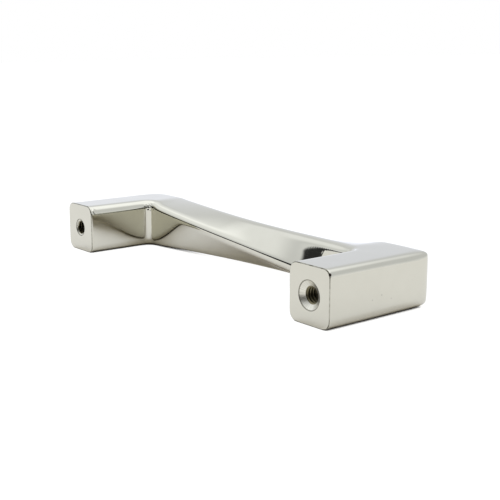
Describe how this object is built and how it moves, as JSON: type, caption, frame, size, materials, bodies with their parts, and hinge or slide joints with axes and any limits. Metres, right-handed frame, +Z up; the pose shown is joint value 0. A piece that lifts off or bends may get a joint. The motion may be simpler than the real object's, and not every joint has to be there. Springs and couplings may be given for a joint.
{
  "type": "cabinet pull",
  "caption": "Square-section cabinet pull whose bar makes a quarter twist between two posts with tapped screw holes, in polished nickel.",
  "frame": {"origin": "on the mounting plane y = 0, half way between the two screw holes and at half the height of the section", "axes": "X along the bar, +Y out of the mount faces towards the cabinet front, so the pull stands out towards -Y, +Z up as the pull lies and as it hangs level on a drawer front"},
  "size_m": [0.1084, 0.031, 0.013],
  "materials": {
    "polished_nickel": "mirror-polished nickel plate on a zinc casting"
  },
  "bodies": {
    "root": {"pull": "polished_nickel"}
  },
  "joints": []
}
